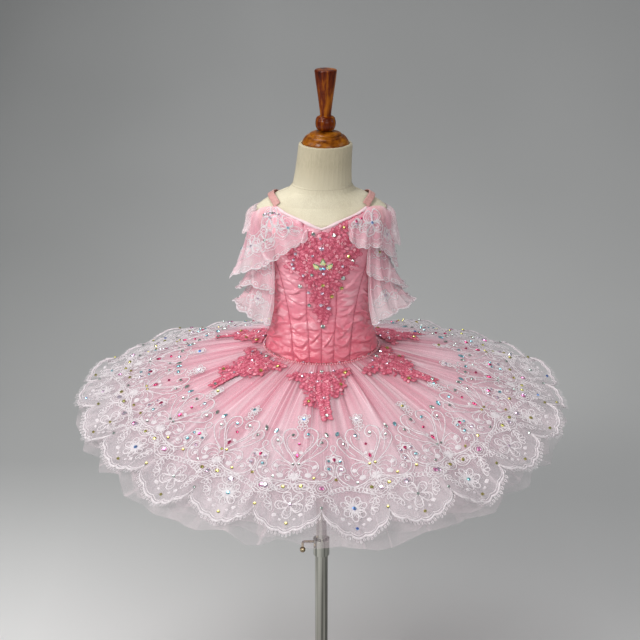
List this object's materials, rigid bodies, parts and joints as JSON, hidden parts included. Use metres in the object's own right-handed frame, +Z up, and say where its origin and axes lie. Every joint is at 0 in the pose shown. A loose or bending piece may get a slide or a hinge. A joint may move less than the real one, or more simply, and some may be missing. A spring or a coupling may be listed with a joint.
{
  "type": "ballet tutu on a limbless dress form",
  "caption": "Child's classical ballet tutu with satin bodice, lace drop sleeves and scalloped lace skirt, on a limbless dress form and telescopic stand.",
  "frame": {"origin": "middle of the base plate's underside, on the floor, on the stand's axis", "axes": "+Z up along the pole, -Y towards the tutu's front, +X towards the garment's own left side"},
  "size_m": [0.852, 0.852, 1.2665],
  "materials": {
    "chrome": "polished chromed steel",
    "linen": "tight cream linen",
    "varnished_wood": "glossy orange-brown varnish",
    "pink_satin": "satin sheen",
    "white_binding": "white satin bias tape",
    "white_lace": "corded embroidery on fine net",
    "pink_net": "matt soft net",
    "rose_beadwork": "beaded corded lace"
  },
  "bodies": {
    "stand": {"base_plate": "chrome", "outer_tube": "chrome", "clamp_collar": "chrome"},
    "clamp_screw": {"clamp_rod": "chrome", "clamp_ball": "chrome"},
    "post": {"inner_tube": "chrome"},
    "form": {"dress_form": "linen", "neck_cap": "varnished_wood", "finial_handle": "varnished_wood", "bodice_centre_front_left": "pink_satin", "bodice_centre_front_right": "pink_satin", "bodice_front_left": "pink_satin", "bodice_front_right": "pink_satin", "bodice_side_front_left": "pink_satin", "bodice_side_front_right": "pink_satin", "bodice_side_back_left": "pink_satin", "bodice_side_back_right": "pink_satin", "bodice_back_left": "pink_satin", "bodice_back_right": "pink_satin", "basque": "pink_satin", "neck_binding_front": "white_binding", "neck_binding_back": "white_binding", "strap_left": "pink_satin", "strap_right": "pink_satin", "lace_overlay": "white_lace", "net_upper_1": "pink_net", "net_upper_2": "pink_net", "net_upper_3": "pink_net", "net_upper_4": "pink_net", "net_upper_5": "pink_net", "net_middle_1": "pink_net", "net_middle_2": "pink_net", "net_middle_3": "pink_net", "net_middle_4": "pink_net", "net_middle_5": "pink_net", "net_lower_1": "pink_net", "net_lower_2": "pink_net", "net_lower_3": "pink_net", "net_lower_4": "pink_net", "net_lower_5": "pink_net", "sleeve_left_upper": "white_lace", "sleeve_left_middle": "white_lace", "sleeve_left_lower": "white_lace", "sleeve_right_upper": "white_lace", "sleeve_right_middle": "white_lace", "sleeve_right_lower": "white_lace", "shoulder_frill_left": "pink_net", "shoulder_frill_right": "pink_net", "applique_bodice": "rose_beadwork", "applique_skirt_1": "rose_beadwork", "applique_skirt_2": "rose_beadwork", "applique_skirt_3": "rose_beadwork", "applique_skirt_4": "rose_beadwork", "applique_skirt_5": "rose_beadwork", "applique_skirt_6": "rose_beadwork"}
  },
  "joints": [
    {"name": "clamp_turn", "type": "hinge", "parent": "stand", "child": "clamp_screw", "pos_m": [-0.015, 0, 0.398], "axis": [1, 0, 0], "range_deg": [-180, 180]},
    {"name": "height_slide", "type": "slide", "parent": "stand", "child": "post", "axis": [0, 0, 1], "range_m": [-0.1, 0.2]},
    {"name": "form_turn", "type": "hinge", "parent": "post", "child": "form", "pos_m": [0, 0, 0.7], "axis": [0, 0, 1], "continuous": true}
  ]
}
